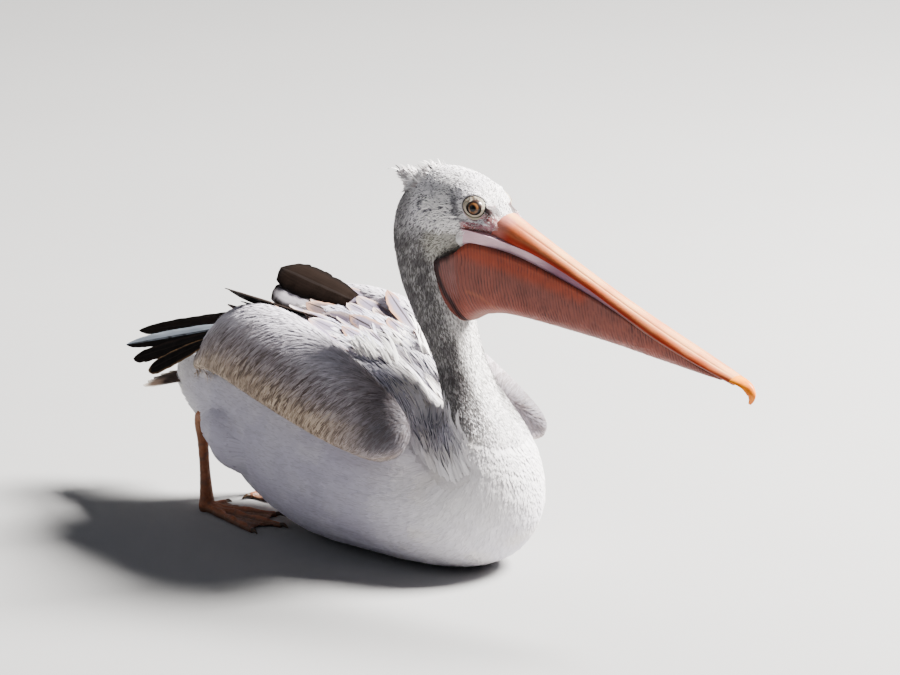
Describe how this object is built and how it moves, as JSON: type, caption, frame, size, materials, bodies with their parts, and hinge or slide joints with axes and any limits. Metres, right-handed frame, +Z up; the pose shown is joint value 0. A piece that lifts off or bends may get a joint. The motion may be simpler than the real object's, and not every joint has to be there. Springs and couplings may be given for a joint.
{
  "type": "pelican",
  "caption": "Still, life-size pink-backed pelican resting on its belly, wings folded, feet tucked under it, long bill and full throat pouch lowered.",
  "frame": {"origin": "middle of the flat the belly rests on, on the bird's plane of symmetry, at floor level", "axes": "+Z up; the bird faces -Y, so +Y is towards its tail; +X is towards the bird's left side"},
  "size_m": [0.2536, 0.8545, 0.4015],
  "materials": {
    "plumage": "soft white-grey feathers, matt",
    "covert": "beige wing and shoulder feathers with brown centres, matt",
    "flight_feather": "dark brown flight and tail feathers, faint sheen",
    "pouch_skin": "bare wrinkled skin, soft sheen",
    "bill_horn": "pale pink horn, satin",
    "nail_horn": "yellow horn, satin",
    "eye": "wet gloss",
    "leg_skin": "scaled bare skin, satin",
    "claw_horn": "dark horn, satin"
  },
  "bodies": {
    "root": {"trunk": "plumage", "neck_lower": "plumage", "neck_upper": "plumage", "head": "plumage", "crest": "plumage", "thigh_left": "plumage", "thigh_right": "plumage", "wing_left": "covert", "mantle_left": "covert", "wing_right": "covert", "mantle_right": "covert", "tertial_1_left": "flight_feather", "tertial_2_left": "flight_feather", "primary_1_left": "flight_feather", "primary_2_left": "flight_feather", "primary_3_left": "flight_feather", "primary_4_left": "flight_feather", "tertial_1_right": "flight_feather", "tertial_2_right": "flight_feather", "primary_1_right": "flight_feather", "primary_2_right": "flight_feather", "primary_3_right": "flight_feather", "primary_4_right": "flight_feather", "tail": "flight_feather", "bill_upper": "bill_horn", "bill_lower": "bill_horn", "bill_nail": "nail_horn", "pouch": "pouch_skin", "eye_left": "eye", "eye_right": "eye", "tarsus_left": "leg_skin", "foot_left": "leg_skin", "claw_hind_left": "claw_horn", "claw_inner_left": "claw_horn", "claw_middle_left": "claw_horn", "claw_outer_left": "claw_horn", "tarsus_right": "leg_skin", "foot_right": "leg_skin", "claw_hind_right": "claw_horn", "claw_inner_right": "claw_horn", "claw_middle_right": "claw_horn", "claw_outer_right": "claw_horn"}
  },
  "joints": []
}
